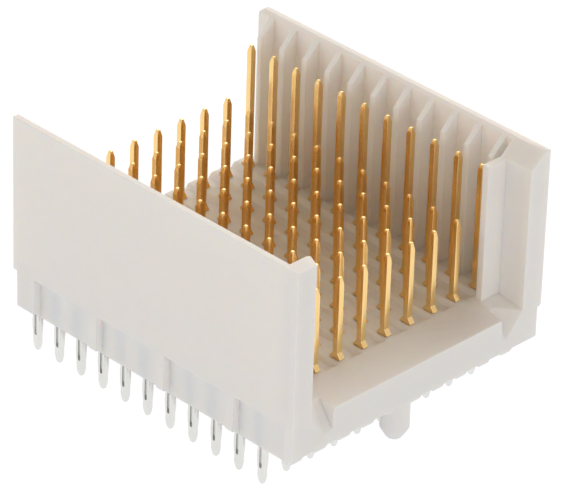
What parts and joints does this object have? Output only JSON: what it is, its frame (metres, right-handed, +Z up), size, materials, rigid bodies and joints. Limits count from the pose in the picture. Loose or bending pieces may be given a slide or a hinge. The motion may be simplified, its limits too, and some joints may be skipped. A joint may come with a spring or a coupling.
{
  "type": "board to board pin header",
  "caption": "Upright press-fit pin header for joining circuit boards: a white moulded U-shaped housing holding a grid of gold-plated pins with eye-of-needle tails below.",
  "frame": {"origin": "middle of the contact grid, on the plane of the board that the header sits on", "axes": "+X along the columns towards the open end with the shelf, +Y across the rows towards the ribbed wall, +Z up along the pins"},
  "size_m": [0.0246, 0.0213, 0.0165],
  "materials": {
    "housing_plastic": "moulded, satin, slightly warm white",
    "contact_plating": "gold over nickel on the pins, bright tin on the tails"
  },
  "bodies": {
    "root": {"housing": "housing_plastic", "long_contacts_01": "contact_plating", "long_contacts_02": "contact_plating", "long_contacts_03": "contact_plating", "long_contacts_04": "contact_plating", "long_contacts_05": "contact_plating", "long_contacts_06": "contact_plating", "long_contacts_07": "contact_plating", "long_contacts_08": "contact_plating", "long_contacts_09": "contact_plating", "long_contacts_10": "contact_plating", "long_contacts_11": "contact_plating", "short_contacts_01_bc": "contact_plating", "short_contacts_01_de": "contact_plating", "short_contacts_01_fg": "contact_plating", "short_contacts_01_hi": "contact_plating", "short_contacts_02_bc": "contact_plating", "short_contacts_02_de": "contact_plating", "short_contacts_02_fg": "contact_plating", "short_contacts_02_hi": "contact_plating", "short_contacts_03_bc": "contact_plating", "short_contacts_03_de": "contact_plating", "short_contacts_03_fg": "contact_plating", "short_contacts_03_hi": "contact_plating", "short_contacts_04_bc": "contact_plating", "short_contacts_04_de": "contact_plating", "short_contacts_04_fg": "contact_plating", "short_contacts_04_hi": "contact_plating", "short_contacts_05_bc": "contact_plating", "short_contacts_05_de": "contact_plating", "short_contacts_05_fg": "contact_plating", "short_contacts_05_hi": "contact_plating", "short_contacts_06_bc": "contact_plating", "short_contacts_06_de": "contact_plating", "short_contacts_06_fg": "contact_plating", "short_contacts_06_hi": "contact_plating", "short_contacts_07_bc": "contact_plating", "short_contacts_07_de": "contact_plating", "short_contacts_07_fg": "contact_plating", "short_contacts_07_hi": "contact_plating", "short_contacts_08_bc": "contact_plating", "short_contacts_08_de": "contact_plating", "short_contacts_08_fg": "contact_plating", "short_contacts_08_hi": "contact_plating", "short_contacts_09_bc": "contact_plating", "short_contacts_09_de": "contact_plating", "short_contacts_09_fg": "contact_plating", "short_contacts_09_hi": "contact_plating", "short_contacts_10_bc": "contact_plating", "short_contacts_10_de": "contact_plating", "short_contacts_10_fg": "contact_plating", "short_contacts_10_hi": "contact_plating", "short_contacts_11_bc": "contact_plating", "short_contacts_11_de": "contact_plating", "short_contacts_11_fg": "contact_plating", "short_contacts_11_hi": "contact_plating"}
  },
  "joints": []
}
